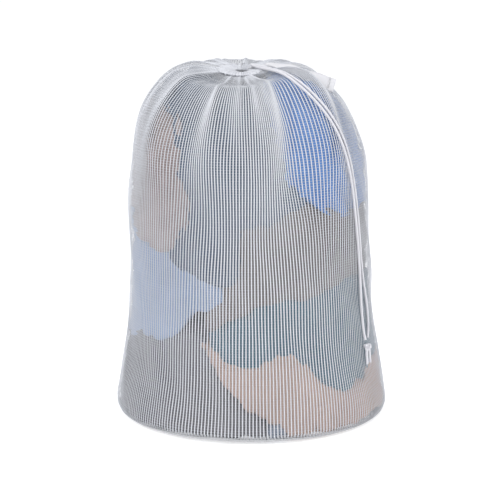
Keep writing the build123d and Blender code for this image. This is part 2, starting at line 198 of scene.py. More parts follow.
# %% White polyester
def white_polyester(name, colour, shade, along_pitch, across_pitch, relief, roughness, sheen):
    """A white yarn finish: ribs across the yarn, plies along it, and painted shade, a faint grey, in the
    hollows.
    """
    material = bpy.data.materials.new(name)
    material.use_nodes = True
    tree = material.node_tree
    tree.nodes.clear()
    nodes_new, link = tree.nodes.new, tree.links.new

    pattern = nodes_new("NodeFrame")
    pattern.label = "Stitches along and across the yarn"
    tone = nodes_new("NodeFrame")
    tone.label = "Painted shade in the hollows and slow grey drift"
    surface = nodes_new("NodeFrame")
    surface.label = "Polyester surface"

    place = nodes_new("ShaderNodeUVMap")
    place.label = "Metres along and across the piece"
    place.uv_map = "UVMap"
    place.location = (-1300, 200)
    place.parent = pattern
    stretch = nodes_new("ShaderNodeMapping")
    stretch.label = "One stitch is one unit"
    stretch.inputs["Scale"].default_value = (1 / across_pitch, 1 / along_pitch, 1)
    stretch.location = (-1100, 200)
    stretch.parent = pattern
    stitches = nodes_new("ShaderNodeTexWave")
    stitches.label = "Stitch after stitch along the yarn"
    stitches.wave_type = "BANDS"
    stitches.bands_direction = "Y"
    stitches.inputs["Scale"].default_value = 0.314
    stitches.inputs["Distortion"].default_value = 0.6
    stitches.inputs["Detail"].default_value = 1.0
    stitches.location = (-900, 300)
    stitches.parent = pattern
    plies = nodes_new("ShaderNodeTexWave")
    plies.label = "Plies side by side, slanted by the twist"
    plies.wave_type = "BANDS"
    plies.bands_direction = "DIAGONAL"
    plies.inputs["Scale"].default_value = 0.45
    plies.inputs["Distortion"].default_value = 0.4
    plies.location = (-900, 60)
    plies.parent = pattern
    weave = nodes_new("ShaderNodeMix")
    weave.label = "Stitches with plies in them"
    weave.data_type = "FLOAT"
    weave.inputs["Factor"].default_value = 0.4
    weave.location = (-700, 200)
    weave.parent = pattern
    link(place.outputs["UV"], stretch.inputs["Vector"])
    link(stretch.outputs["Vector"], stitches.inputs["Vector"])
    link(stretch.outputs["Vector"], plies.inputs["Vector"])
    link(stitches.outputs["Fac"], weave.inputs["A"])
    link(plies.outputs["Fac"], weave.inputs["B"])

    where = nodes_new("ShaderNodeTexCoord")
    where.label = "Place on the bag"
    where.location = (-1300, -250)
    where.parent = tone
    drift = nodes_new("ShaderNodeTexNoise")
    drift.label = "Slow drift from white to greyer"
    drift.inputs["Scale"].default_value = 14
    drift.inputs["Detail"].default_value = 3
    drift.location = (-1100, -250)
    drift.parent = tone
    drift_range = nodes_new("ShaderNodeMapRange")
    drift_range.label = "Only a little drift"
    drift_range.inputs["To Min"].default_value = 0.0
    drift_range.inputs["To Max"].default_value = 0.35
    drift_range.location = (-900, -250)
    drift_range.parent = tone
    # Painted shade: where the stitch pattern sinks, the colour mixes towards the grey shade colour; the slow
    # drift added on top is random tone.
    hollow_shade_and_drift = nodes_new("ShaderNodeMath")
    hollow_shade_and_drift.label = "Painted hollow shade and drift together"
    hollow_shade_and_drift.operation = "MULTIPLY_ADD"
    hollow_shade_and_drift.inputs[1].default_value = -0.35
    hollow_shade_and_drift.location = (-500, -120)
    hollow_shade_and_drift.parent = tone
    yarn_colour = nodes_new("ShaderNodeMix")
    yarn_colour.label = "White yarn with painted shade in the hollows"
    yarn_colour.data_type = "RGBA"
    yarn_colour.inputs["A"].default_value = (*colour, 1)
    yarn_colour.inputs["B"].default_value = (*shade, 1)
    yarn_colour.location = (-300, -60)
    yarn_colour.parent = tone
    link(where.outputs["Object"], drift.inputs["Vector"])
    link(drift.outputs["Fac"], drift_range.inputs["Value"])
    link(weave.outputs["Result"], hollow_shade_and_drift.inputs[0])
    link(drift_range.outputs["Result"], hollow_shade_and_drift.inputs[2])
    link(hollow_shade_and_drift.outputs["Value"], yarn_colour.inputs["Factor"])

    bump = nodes_new("ShaderNodeBump")
    bump.label = "Relief of the stitches"
    bump.inputs["Strength"].default_value = relief
    bump.inputs["Distance"].default_value = 0.0006
    bump.location = (-300, -300)
    bump.parent = surface
    cloth = nodes_new("ShaderNodeBsdfPrincipled")
    cloth.label = "Polyester"
    cloth.inputs["Roughness"].default_value = roughness
    cloth.inputs["Sheen Weight"].default_value = sheen
    cloth.inputs["Sheen Roughness"].default_value = 0.4
    cloth.inputs["Specular IOR Level"].default_value = 0.35
    cloth.location = (0, 0)
    cloth.parent = surface
    out = nodes_new("ShaderNodeOutputMaterial")
    out.location = (300, 0)
    link(weave.outputs["Result"], bump.inputs["Height"])
    link(yarn_colour.outputs["Result"], cloth.inputs["Base Color"])
    link(bump.outputs["Normal"], cloth.inputs["Normal"])
    link(cloth.outputs["BSDF"], out.inputs["Surface"])
    return material


net_white = white_polyester(
    "knitted_net_white", (0.60, 0.612, 0.65), (0.43, 0.445, 0.485), 0.0031, 0.0024, 0.5, 0.6, 0.04)
hem_white = white_polyester(
    "gathered_hem_white", (0.66, 0.67, 0.71), (0.50, 0.51, 0.56), 0.0031, 0.0012, 0.7, 0.6, 0.15)
seam_white = white_polyester(
    "seam_white", (0.47, 0.475, 0.49), (0.34, 0.345, 0.36), 0.0016, 0.0030, 0.8, 0.65, 0.1)
thread_white = white_polyester(
    "thread_white", (0.74, 0.74, 0.76), (0.54, 0.54, 0.58), 0.0006, 0.0006, 0.5, 0.5, 0.1)
cord_white = white_polyester(
    "braided_cord_white", (0.66, 0.655, 0.69), (0.50, 0.50, 0.54), 0.0022, 0.0016, 0.8, 0.5, 0.2)
tape_white = white_polyester(
    "woven_tape_white", (0.64, 0.635, 0.66), (0.52, 0.52, 0.55), 0.0014, 0.0011, 0.6, 0.6, 0.2)
print("white finishes:", [m.name for m in bpy.data.materials])


# %% [markdown]
# ## The drawstring
#
# Two strands of 4 mm braided polyester cord come out of one buttonhole in the hem, lie side by
# side over the shoulder and hang down to the knot. Each strand is a fixed length of limp cord, so
# its route is a smooth curve through the frame's own places. A braided tube then follows the
# points of that curve. The braid is geometry: eight strands, four each way, stand up in turn.

# %% Cord routes
CORD_RADIUS = 0.002
BRAID_PITCH = 0.0085
TAIL_A = [
    (-0.0002, -0.0083, 0.502), (0.0065, -0.022, 0.500), (0.015, -0.038, 0.4995),
    (0.027, -0.057, 0.4985), (0.041, -0.074, 0.4965), (0.056, -0.087, 0.4875),
    (0.0725, -0.096, 0.475), (0.088, -0.101, 0.4595), (0.102, -0.102, 0.443),
    (0.1145, -0.101, 0.424), (0.1255, -0.100, 0.400), (0.134, -0.098, 0.372),
    (0.140, -0.095, 0.340), (0.144, -0.092, 0.306), (0.148, -0.090, 0.270),
    (0.151, -0.088, 0.236), (0.153, -0.089, 0.206), (0.154, -0.0915, 0.180),
    (0.156, -0.092, 0.157), (0.1575, -0.094, 0.137), (0.161, -0.096, 0.122),
]
TAIL_B = [
    (0.0021, -0.0041, 0.502), (0.0115, -0.0195, 0.501), (0.0195, -0.035, 0.500),
    (0.031, -0.0535, 0.499), (0.045, -0.0705, 0.4965), (0.0595, -0.0825, 0.489),
    (0.0755, -0.0915, 0.478), (0.0915, -0.0975, 0.4625), (0.106, -0.098, 0.4455),
    (0.1185, -0.096, 0.4255), (0.1295, -0.0945, 0.401), (0.1375, -0.093, 0.373),
    (0.143, -0.090, 0.341), (0.1475, -0.087, 0.307), (0.151, -0.085, 0.271),
    (0.154, -0.083, 0.237), (0.157, -0.0805, 0.209), (0.161, -0.076, 0.186),
    (0.164, -0.073, 0.166), (0.1655, -0.074, 0.149), (0.166, -0.080, 0.135),
    (0.1645, -0.089, 0.124),
]
END_A = [(0.1635, -0.0955, 0.108), (0.163, -0.095, 0.099), (0.1645, -0.0942, 0.092), (0.164, -0.0945, 0.086)]
END_B = [(0.1665, -0.0925, 0.109), (0.168, -0.0895, 0.100), (0.168, -0.0885, 0.093), (0.1695, -0.0875, 0.087)]


def route_points(name, controls):
    """The points of a NURBS spline of order 3 that the cord's route controls."""
    curve = bpy.data.curves.new(name + "_route", "CURVE")
    curve.dimensions = "3D"
    curve.resolution_u = 12
    spline = curve.splines.new("NURBS")
    spline.points.add(len(controls) - 1)
    spline.points.foreach_set("co", np.hstack([controls, np.ones((len(controls), 1))]).ravel())
    spline.order_u = 3
    spline.use_endpoint_u = True
    holder = bpy.data.objects.new(name + "_route", curve)
    bpy.context.collection.objects.link(holder)
    bpy.context.view_layer.update()
    mesh = bpy.data.meshes.new_from_object(holder)
    line = np.empty(len(mesh.vertices) * 3)
    mesh.vertices.foreach_get("co", line)
    bpy.data.objects.remove(holder)
    bpy.data.meshes.remove(mesh)
    return line.reshape(-1, 3)


def braided_tube(name, line, radius, step=0.0009, columns=16, closed=False, end_taper=0.0):
    """A tube round a line whose radius swells by turns with two families of crossing strands.

    Radius = r (0.90 + 0.10 times the larger of |cos(2a + kz)| and |cos(2a - kz)|): the strand on
    top there. One strand goes round once in BRAID_PITCH, so k is 2 pi over that.
    """
    length = np.linalg.norm(np.diff(line, axis=0), axis=1).sum()
    count = max(int(length / step), 8)
    travelled = np.concatenate([[0], np.cumsum(np.linalg.norm(np.diff(line, axis=0), axis=1))])
    wanted = np.linspace(0, travelled[-1], count, endpoint=not closed)
    centre = np.stack([np.interp(wanted, travelled, line[:, k]) for k in range(3)], axis=1)
    _, side, third = frames_along(centre, closed=closed)
    angle = np.linspace(0, 2 * np.pi, columns, endpoint=False)[None, :]
    turn = 2 * np.pi * wanted[:, None] / BRAID_PITCH
    left = np.abs(np.cos(2 * angle + turn))
    right = np.abs(np.cos(2 * angle - turn))
    swell = 0.90 + 0.10 * np.maximum(left, right)
    if end_taper:
        from_end = np.minimum(wanted, travelled[-1] - wanted)[:, None]
        swell = swell * np.sqrt(np.clip(0.35 + from_end / end_taper, 0, 1))
    ring = side[:, None] * np.cos(angle)[..., None] + third[:, None] * np.sin(angle)[..., None]
    points = centre[:, None] + radius * swell[..., None] * ring
    if closed:
        faces = grid_faces(count, columns, close_columns=True).tolist()
        last = (count - 1) * columns
        faces += [[last + c, last + (c + 1) % columns, (c + 1) % columns, c] for c in range(columns)]
    else:
        faces = tube_faces(count, columns)
    uv = np.stack(np.broadcast_arrays(radius * angle, wanted[:, None]), axis=-1)
    return face_outwards(new_piece(name, points, faces, cord_white, uv=uv))


for name, controls in (("drawstring_tail_a", TAIL_A), ("drawstring_tail_b", TAIL_B)):
    line = route_points(name, controls)
    piece = braided_tube(name + "_braid", line, CORD_RADIUS)
    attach(piece, "drawstring_tails")
    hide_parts(name)


# %% [markdown]
# The knot is an overhand knot tied in both strands together. A tight overhand knot is close to a
# trefoil, whose line is known: x = sin t + 2 sin 2t, y = cos t - 2 cos 2t, z = - sin 3t. One braided
# tube follows it. Below it the two ends stick out, melted a little at their tips.

# %% Knot and cord ends
knot_low, knot_high = (np.array(v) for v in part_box("drawstring_knot"))
knot_centre = (knot_low + knot_high) / 2
knot_half = (knot_high - knot_low) / 2
t = np.linspace(0, 2 * np.pi, 90, endpoint=False)
trefoil = np.stack([np.sin(t) + 2 * np.sin(2 * t), -1.25 * np.sin(3 * t),
                    np.cos(t) - 2 * np.cos(2 * t)], axis=1)
knot_scale = (knot_half[0] - 0.9 * CORD_RADIUS) / 3
knot_line = knot_centre + knot_scale * trefoil * (1.05, 1.0, 0.95)
knot = braided_tube("drawstring_knot_tied", knot_line, 0.96 * CORD_RADIUS, step=0.0006, closed=True)
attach(knot, "drawstring_tails")
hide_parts("drawstring_knot")

for name, controls in (("drawstring_end_a", END_A), ("drawstring_end_b", END_B)):
    end = braided_tube(name + "_melted", route_points(name, controls), CORD_RADIUS, step=0.0006,
                       end_taper=0.0016)
    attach(end, "drawstring_tails")
    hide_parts(name)

print("knot", np.round(2 * knot_half * 1000, 1), "mm across")


# %% [markdown]
# ## The shape of the filled bag
#
# Net, seams and hem all lie on one surface, so it is made once, as a function of the angle round
# the bag and the share of the way from its foot to the mouth. Its profile is read off the frame as
# shares of the bag's height and half width. Near the mouth the surface shifts towards the drawn
# hole and folds into pleats, because there the net is far wider than the ring it is drawn into.

# %% Profile
back_low, back_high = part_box("back_mesh_panel")
HEIGHT = back_high.z
WIDEST = (back_high.x - back_low.x) / 2
hem_low, hem_high = (np.array(v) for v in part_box("front_hem"))
loop_low, loop_high = (np.array(v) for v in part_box("drawstring_loop"))
MOUTH = (loop_low + loop_high) / 2
HEM_RADIUS = (hem_high[0] - hem_low[0]) / 2
MOUTH_DROP = 0.0025
TOP_LEAN = -0.009

# Share of the height, share of the half width, from the foot to the hem's edge.
PROFILE = [
    (0.000, 0.920), (0.008, 0.972), (0.026, 0.996), (0.079, 0.980), (0.177, 0.937), (0.315, 0.897),
    (0.492, 0.873), (0.669, 0.854), (0.787, 0.819), (0.876, 0.751), (0.935, 0.652), (0.972, 0.534),
    (0.990, 0.403), (0.994, 0.312), (0.992, 0.242), (0.989, 0.160),
]
meridian = along_curve([(r * WIDEST, z * HEIGHT) for z, r in PROFILE], 600)
meridian_step = np.linalg.norm(np.diff(meridian, axis=0), axis=1).sum() / (len(meridian) - 1)
MERIDIAN_LENGTH = meridian_step * (len(meridian) - 1)
tangent = unit(np.gradient(meridian, axis=0))
shares = np.linspace(0, 1, len(meridian))
print("foot to hem along the net:", round(MERIDIAN_LENGTH, 3), "m")

# %% The surface of the net
# Waves round the bag, phase, strength, and the share of the height where each pleat starts.
PLEATS = [(5, 4.71, 0.22, 0.36), (9, 2.28, 0.34, 0.50), (14, 0.90, 0.20, 0.58), (23, 5.10, 0.20, 0.72),
          (37, 1.70, 0.16, 0.84)]
PUSH_OF_A_LUMP = 0.0011
PUSH_OF_A_PLEAT = 0.0034
FRONT_ANGLE = 4.50
FRONT_SLOPE = 0.018                  # how far in the net lies in front, below the mouth
RIGHT_ANGLE = -0.05
RIGHT_SLOPE = 0.009                  # the same on the right shoulder


def mouth_tip(radius, sine):
    """How much the gathered top is tipped: down towards the front, up a little at the back.

    Height = radius (0.12 sin a - 0.07 sin^2 a), so the slope is 11 degrees in front and 3 behind.
    """
    return radius * (0.12 * sine - 0.07 * sine ** 2)


LUMPS = [(2, 1.3, 0.4, 1.1), (3, 2.2, 2.0, 0.9), (5, 3.1, 4.1, 0.8), (4, 5.0, 1.0, 0.7), (9, 2.0, 5.2, 0.45),
         (13, 4.5, 0.7, 0.3), (23, 7.0, 2.6, 0.2)]


def bag_surface(angle, share):
    """Points on the net and its outward directions, from angle round the bag and share of the way up.

    radius and height come from the profile. Pleats: a sum of waves round the bag, which grow on
    the way up, turn the ribs towards each other and push the net out where they crowd. Lumps:
    slow waves of a few millimetres, from the laundry behind. Between the mouth and the front,
    the net is pulled straight, so there it lies up to 18 mm further in than at the sides, and on
    the right shoulder up to 9 mm.
    """
    angle, share = np.broadcast_arrays(np.asarray(angle, float), np.asarray(share, float))
    radius = np.interp(share, shares, meridian[:, 0])
    height = np.interp(share, shares, meridian[:, 1])
    slope_out = np.interp(share, shares, tangent[:, 1])
    slope_up = -np.interp(share, shares, tangent[:, 0])
    drawn = 1 - smoothstep(radius, HEM_RADIUS, 0.72 * WIDEST)
    crowd = np.zeros_like(angle)
    ridge = np.zeros_like(angle)
    for waves, phase, weight, start in PLEATS:
        wave = waves * angle + phase
        grown = weight * smoothstep(height, start * HEIGHT, 0.55 * (1 + start) * HEIGHT)
        crowd += grown * np.sin(wave) / waves
        ridge -= grown * np.cos(wave)
    turned = angle + crowd

    lump = np.zeros_like(angle)
    for waves, climb, phase, weight in LUMPS:
        lump += weight * np.cos(waves * angle + phase + 2 * np.pi * climb * share
                                + 0.9 * np.sin(2 * angle + 3 * share))
    settled = smoothstep(height, 0.0, 0.06 * HEIGHT)
    push = PUSH_OF_A_LUMP * lump * settled * (1 - 0.6 * drawn)
    push += PUSH_OF_A_PLEAT * ridge * smoothstep(radius, 0.9 * HEM_RADIUS, 2.4 * HEM_RADIUS)
    at_front = smoothstep(np.cos(angle - FRONT_ANGLE), 0.42, 1.0)
    push -= FRONT_SLOPE * at_front * smoothstep(share, 0.62, 0.86) * (1 - 0.8 * smoothstep(share, 0.92, 1.0))
    at_right = smoothstep(np.cos(angle - RIGHT_ANGLE), 0.72, 1.0)
    push -= RIGHT_SLOPE * at_right * smoothstep(share, 0.62, 0.76) * (1 - smoothstep(share, 0.83, 0.93))

    shift = 1 - smoothstep(radius, HEM_RADIUS, 0.55 * WIDEST)
    centre_x = TOP_LEAN * (height / HEIGHT) ** 2 * (1 - shift) + MOUTH[0] * shift
    centre_y = MOUTH[1] * shift
    out = np.stack([slope_out * np.cos(turned), slope_out * np.sin(turned), slope_up], axis=-1)
    points = np.stack([centre_x + radius * np.cos(turned), centre_y + radius * np.sin(turned),
                       height + shift * (mouth_tip(radius, np.sin(turned)) - MOUTH_DROP)], axis=-1)
    return points + push[..., None] * out, out


def surface_frame(angle, share):
    """Points of the net with the direction round the bag, the direction up it and outwards."""
    points, out = bag_surface(angle, share)
    beside, _ = bag_surface(angle + 0.002, share)
    around = unit(beside - points)
    up = unit(np.cross(out, around))
    pitch = np.linalg.norm(beside - points, axis=-1) / 0.002
    return points, around, up, unit(np.cross(around, up)), pitch


print("net at half height:", np.round(bag_surface(0.0, 0.5)[0], 4))


# %% [markdown]
# ## The net
#
# The net is warp knitted: stout ribs run up the bag, and thin yarns cross from rib to rib. It
# could be a flat sheet with holes drawn by a material, but then it would have no thickness and
# would throw wrong shadows. So each rib and each cross yarn is a real closed strip. A strip has
# three corners all round, a flat back and a raised middle, which is enough at this size and keeps
# each panel below 200,000 triangles.

# %% Net strips
RIBS_A_PANEL = 126
RIB_WIDTH = 0.0020
RIB_HEIGHT = 0.0004
RIB_STEP = 0.0082
RIB_SHARE = 0.60                     # most of its pitch that a rib may take up
RIB_SHARE_AT_HEM = 0.98
CROSS_PITCH = 0.0035
CROSS_WIDTH = 0.0005
NET_FOOT = 0.022                     # share of the way up where the net leaves the seam or the base
SEAM_HALF_ANGLE = 0.019


def net_strips(points, across, out, width, height):
    """Three-cornered strips, one for each row of points: the corners are half a width to each side
    across and one height outwards."""
    left = points - across * width[..., None] / 2 - out * height[..., None] * 0.3
    right = points + across * width[..., None] / 2 - out * height[..., None] * 0.3
    top = points + out * height[..., None] * 0.7
    return np.stack([left, right, top], axis=-2)


def strip_faces(strips, steps, first=0, corners=3):
    """Faces of many thin strips with closed ends, numbered strip by strip."""
    one = grid_faces(steps, corners, close_columns=True)
    starts = first + np.arange(strips) * steps * corners
    sides = (one[None] + starts[:, None, None]).reshape(-1, 4)
    near = starts[:, None] + np.arange(corners)[::-1][None]
    far = starts[:, None] + (steps - 1) * corners + np.arange(corners)[None]
    return sides.tolist() + near.tolist() + far.tolist()


def net_panel(name, from_angle):
    """The ribs and cross yarns of one panel, half way round the bag from an angle."""
    edge = SEAM_HALF_ANGLE
    angles = from_angle + edge + (np.arange(RIBS_A_PANEL) + 0.5) * (np.pi - 2 * edge) / RIBS_A_PANEL
    steps = int(MERIDIAN_LENGTH * (1 - NET_FOOT) / RIB_STEP)
    up_share = np.linspace(NET_FOOT, 1.0, steps)
    waver = 0.0022 * np.sin(3.1 * angles[:, None] * 7 + 11 * up_share[None] * 2.3) \
        * smoothstep(up_share, 0.03, 0.15)[None] * np.sin(9 * up_share[None] + angles[:, None])
    p, around, _, out, _ = surface_frame(angles[:, None] + waver, up_share[None])
    radius = np.interp(up_share, shares, meridian[:, 0])
    near_hem = 1 - smoothstep(radius, 1.1 * HEM_RADIUS, 2.3 * HEM_RADIUS)
    share_of_room = RIB_SHARE + (RIB_SHARE_AT_HEM - RIB_SHARE) * near_hem
    room = radius * (np.pi - 2 * edge) / RIBS_A_PANEL
    width = np.broadcast_to(np.minimum(RIB_WIDTH, share_of_room * room), p.shape[:2])
    height = RIB_HEIGHT * np.clip(width / RIB_WIDTH, 0.45, 1)
    ribs = net_strips(p, around, out, width, height)
    faces = strip_faces(RIBS_A_PANEL, steps)
    uv = np.stack(np.broadcast_arrays(np.array([0, RIB_WIDTH, RIB_WIDTH / 2])[None, None, :],
                                      (up_share * MERIDIAN_LENGTH)[None, :, None]
                                      * np.ones((RIBS_A_PANEL, 1, 1))), axis=-1)

    crosses = int(MERIDIAN_LENGTH * (0.955 - NET_FOOT) / CROSS_PITCH)
    cross_share = np.linspace(NET_FOOT + 0.002, 0.955, crosses)
    ends = np.concatenate([[angles[0] - 0.6 * edge], angles, [angles[-1] + 0.6 * edge]])
    q, _, q_up, q_out, _ = surface_frame(ends[None], cross_share[:, None])
    q = q - q_out * 0.00035
    thin = np.full(q.shape[:2], CROSS_WIDTH)
    yarns = net_strips(q, q_up, q_out, thin, 0.8 * thin)
    columns = RIBS_A_PANEL + 2
    faces += strip_faces(crosses, columns, first=RIBS_A_PANEL * steps * 3)
    along = np.linspace(0, np.pi * WIDEST, columns)
    uv_cross = np.stack(np.broadcast_arrays(np.array([0, CROSS_WIDTH, CROSS_WIDTH / 2])[None, None, :],
                                            along[None, :, None] * np.ones((crosses, 1, 1))), axis=-1)
    points = np.concatenate([ribs.reshape(-1, 3), yarns.reshape(-1, 3)])
    uv = np.concatenate([uv.reshape(-1, 2), uv_cross.reshape(-1, 2)])
    piece = new_piece(name, points, faces, net_white, uv=uv)
    triangles = sum(len(face) - 2 for face in faces)
    print(name, triangles, "triangles,", RIBS_A_PANEL, "ribs,", crosses, "cross yarns")
    return piece


front_net = net_panel("front_net", np.pi)
back_net = net_panel("back_net", 0.0)
for piece, node in ((front_net, "front_mesh_panel"), (back_net, "back_mesh_panel")):
    face_outwards(piece)
    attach(piece, "bag")
    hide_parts(node)


# %% [markdown]
# The back panel also wraps under the load as the base. There its ribs run straight on to the
# front, flattened against the floor. They are a piece of their own, so that the panel keeps
# below its limit of triangles.

# %% Net under the base
def base_net():
    """Ribs at equal angles round the rim run straight from back to front; cross yarns join them."""
    edge = SEAM_HALF_ANGLE * 2
    angles = edge + (np.arange(RIBS_A_PANEL) + 0.5) * (np.pi - 2 * edge) / RIBS_A_PANEL
    rim, _ = bag_surface(angles, NET_FOOT)
    rim_front, _ = bag_surface(-angles, 0.016)
    steps = 25
    t = np.linspace(0, 1, steps)
    lift = rim[:, None, 2] * (1 - smoothstep(t, 0.0, 0.09)) + rim_front[:, None, 2] * smoothstep(t, 0.94, 1.0)
    path = rim[:, None] * (1 - t)[None, :, None] + rim_front[:, None] * t[None, :, None]
    path[..., 2] = 0.0011 + lift
    sideways = np.broadcast_to(np.array([1.0, 0, 0]), path.shape)
    down = np.broadcast_to(np.array([0, 0, -1.0]), path.shape)
    width = np.full(path.shape[:2], 0.0016)
    ribs = net_strips(path, -sideways, down, width, np.full_like(width, 0.0008))
    faces = strip_faces(RIBS_A_PANEL, steps)
    rows = np.linspace(0.02, 0.98, 60)
    q = np.stack([np.stack([np.interp(rows, t, path[k, :, axis]) for axis in range(3)], axis=1)
                  for k in range(RIBS_A_PANEL)], axis=1)
    q[..., 2] += 0.0004
    lengthways = np.broadcast_to(np.array([0, 1.0, 0]), q.shape)
    thin = np.full(q.shape[:2], CROSS_WIDTH)
    yarns = net_strips(q, lengthways, np.broadcast_to(down[0, 0], q.shape), thin, 0.8 * thin)
    faces += strip_faces(len(rows), RIBS_A_PANEL, first=RIBS_A_PANEL * steps * 3)
    points = np.concatenate([ribs.reshape(-1, 3), yarns.reshape(-1, 3)])
    piece = new_piece("base_net", points, faces, net_white, uv=points[:, :2])
    print("base_net", sum(len(face) - 2 for face in faces), "triangles")
    return face_outwards(piece)


base = base_net()
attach(base, "bag")
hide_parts("back_mesh_panel")


# %% [markdown]
# ## Seams
#
# The panels are overlocked: a folded edge of net wrapped in thread. On the bag it reads as a
# narrow, thick band with slanting ridges. It is a flat band carried along the seam's line, whose
# skin is ruffled by the thread at a pitch of three millimetres.

# %% Seam bands
def ruffled_band(name, centre, across, out, half_width, thickness, pitch, material):
    """A closed flattened tube along a line, its skin raised by slanted waves of thread.

    The section is an ellipse with its corners squared; the wave is cos(k (along + 0.8 across)).
    """
    count = len(centre)
    columns = 14
    turn = np.linspace(0, 2 * np.pi, columns, endpoint=False)[None, :]
    sideways = np.sign(np.cos(turn)) * np.abs(np.cos(turn)) ** 0.6
    raised = np.sign(np.sin(turn)) * np.abs(np.sin(turn)) ** 0.7
    travelled = np.concatenate([[0], np.cumsum(np.linalg.norm(np.diff(centre, axis=0), axis=1))])[:, None]
    wave = np.cos(2 * np.pi * (travelled + 0.8 * half_width * sideways) / pitch)
    points = centre[:, None] + across[:, None] * (half_width * sideways * (1 + 0.06 * wave))[..., None] \
        + out[:, None] * (thickness / 2 * raised * (1 + 0.22 * wave))[..., None]
    uv = np.stack(np.broadcast_arrays(half_width * sideways, travelled), axis=-1)
    return face_outwards(new_piece(name, points, tube_faces(count, columns), material, uv=uv))


def side_seam(name, node, angle):
    """The seam from the foot to the hem at one side."""
    share = np.linspace(0.022, 0.995, 760)
    p, around, up, out, pitch = surface_frame(np.full_like(share, angle), share)
    taper = np.interp(share, [0, 0.8, 1.0], [1.0, 1.0, 0.45])[:, None]
    piece = ruffled_band(name, p - 0.0004 * out, around * taper, out, 0.0030, 0.0019, 0.0030, seam_white)
    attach(piece, "bag")
    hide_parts(node)
    return piece


side_seam("right_seam_overlock", "right_side_seam", 0.0)
side_seam("left_seam_overlock", "left_side_seam", np.pi)

bottom_angle = np.linspace(np.pi + 0.012, 2 * np.pi - 0.012, 900)
bottom_share = 0.021 + 0.0030 * np.sin(3 * bottom_angle + 0.6) + 0.0010 * np.sin(13 * bottom_angle)
p, around, up, out, pitch = surface_frame(bottom_angle, bottom_share)
bottom_seam = ruffled_band(
    "bottom_seam_overlock", p - 0.0003 * out, up, out, 0.0024, 0.0017, 0.0030, seam_white)
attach(bottom_seam, "bag")
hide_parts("bottom_seam")
print("seams made")


# %% [markdown]
# ## The gathered hem
#
# Where the cord pulls the hem together, more than a metre of doubled net becomes a thick ruffled
# ring. It has rounded puckers with sharp valleys between them, all running to the hole. A closed
# section is carried round the mouth, and |sin| waves move its skin: they are round on top and
# sharp at the bottom, as gathered cloth is. The front and the back half belong to the two panels.

# %% Hem halves
# Distance from the middle of the mouth and height above it, round the section, in metres.
HEM_SECTION = [
    (0.0385, 0.0004), (0.0340, 0.0022), (0.0270, 0.0014), (0.0200, -0.0004), (0.0130, -0.0014),
    (0.0102, -0.0022), (0.0096, -0.0036), (0.0104, -0.0050), (0.0135, -0.0076), (0.0200, -0.0090),
    (0.0290, -0.0050), (0.0360, -0.0014),
]
UP = np.array([0, 0, 1.0])
mouth_middle = np.array([MOUTH[0], MOUTH[1], 0.500 - MOUTH_DROP])
hem_section = along_curve(HEM_SECTION, 44, closed=True)
section_along = unit(np.roll(hem_section, -1, axis=0) - np.roll(hem_section, 1, axis=0))
section_out = np.stack([section_along[:, 1], -section_along[:, 0]], axis=1)


def puckers(angle, radius):
    """How far gathered cloth stands out: |sin| waves of two pitches, less deep near the hole."""
    sway = 0.05 * np.sin(5 * angle + 1.0) + 0.03 * np.sin(11 * angle + 90 * radius)
    fine = np.abs(np.sin(29 * (angle + sway) + 0.4 * np.sin(3 * angle)))
    broad = np.abs(np.sin(9.5 * (angle - sway) + 1.1))
    depth = 0.0008 + 0.0010 * smoothstep(radius, 0.012, 0.030)
    return depth * (1.15 * fine + 0.8 * broad - 1.1)


def from_mouth(radius, angle, height):
    """A point at a distance and an angle from the middle of the mouth, on its tipped ground."""
    return mouth_middle + np.stack([radius * np.cos(angle), radius * np.sin(angle),
                                    height + mouth_tip(radius, np.sin(angle))], axis=-1)


def hem_half(name, node, from_angle):
    """Half of the ring: the section moved out by the puckers at each angle, closed at both ends."""
    angle = np.linspace(from_angle + 0.004, from_angle + np.pi - 0.004, 520)[:, None]
    radius, height = hem_section[:, 0][None, :], hem_section[:, 1][None, :]
    stand = puckers(angle, radius)
    points = from_mouth(radius + section_out[:, 0] * stand, angle + 0 * radius,
                        height + section_out[:, 1] * stand)
    round_section = np.linspace(0, 0.09, len(hem_section))[None, :]
    uv = np.stack(np.broadcast_arrays(angle * 0.12, round_section), axis=-1)
    piece = new_piece(name, points, tube_faces(*points.shape[:2]), hem_white, uv=uv)
    face_outwards(piece)
    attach(piece, "bag")
    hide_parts(node)
    return piece


hem_half("front_hem_gathers", "front_hem", np.pi)
hem_half("back_hem_gathers", "back_hem", 0.0)
print("hem section", len(hem_section), "points")


# %% [markdown]
# The hem is sewn down with one row of lockstitch, a short stitch every three millimetres. Each is
# a plump little tube with pointed ends that arches over the cloth.

# %% Stitches
STITCH_CORNERS = 6


def stitches(name, starts, ends, ups, radius, arch, body, slot):
    """Arched tubes from each start to each end; thickness follows sqrt(sin), so both ends close."""
    t = np.linspace(0, 1, 7)
    thick = radius * np.sqrt(np.clip(np.sin(np.pi * t), 0.03, 1))[None, :]
    centre = starts[:, None] * (1 - t)[None, :, None] + ends[:, None] * t[None, :, None]
    centre = centre + ups[:, None] * (arch * np.sin(np.pi * t))[None, :, None]
    along = unit(ends - starts)
    side = unit(np.cross(along, ups))
    third = np.cross(side, along)
    turn = np.linspace(0, 2 * np.pi, STITCH_CORNERS, endpoint=False)
    ring = side[:, None] * np.cos(turn)[None, :, None] + third[:, None] * np.sin(turn)[None, :, None]
    points = centre[:, :, None] + thick[..., None, None] * ring[:, None]
    faces = strip_faces(len(starts), len(t), corners=STITCH_CORNERS)
    length = np.linalg.norm(ends - starts, axis=1)[:, None, None] * t[None, :, None]
    uv = np.stack(np.broadcast_arrays(radius * turn[None, None, :], length), axis=-1)
    piece = face_outwards(new_piece(name, points, faces, thread_white, uv=uv))
    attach(piece, body)
    return piece


def hem_top(angle, radius):
    """The top of the puckered hem at a distance from the middle of the mouth."""
    top = hem_section[section_out[:, 1] > 0]
    order = np.argsort(top[:, 0])
    height = np.interp(radius, top[order, 0], top[order, 1])
    return from_mouth(radius, angle, height + puckers(angle, radius))


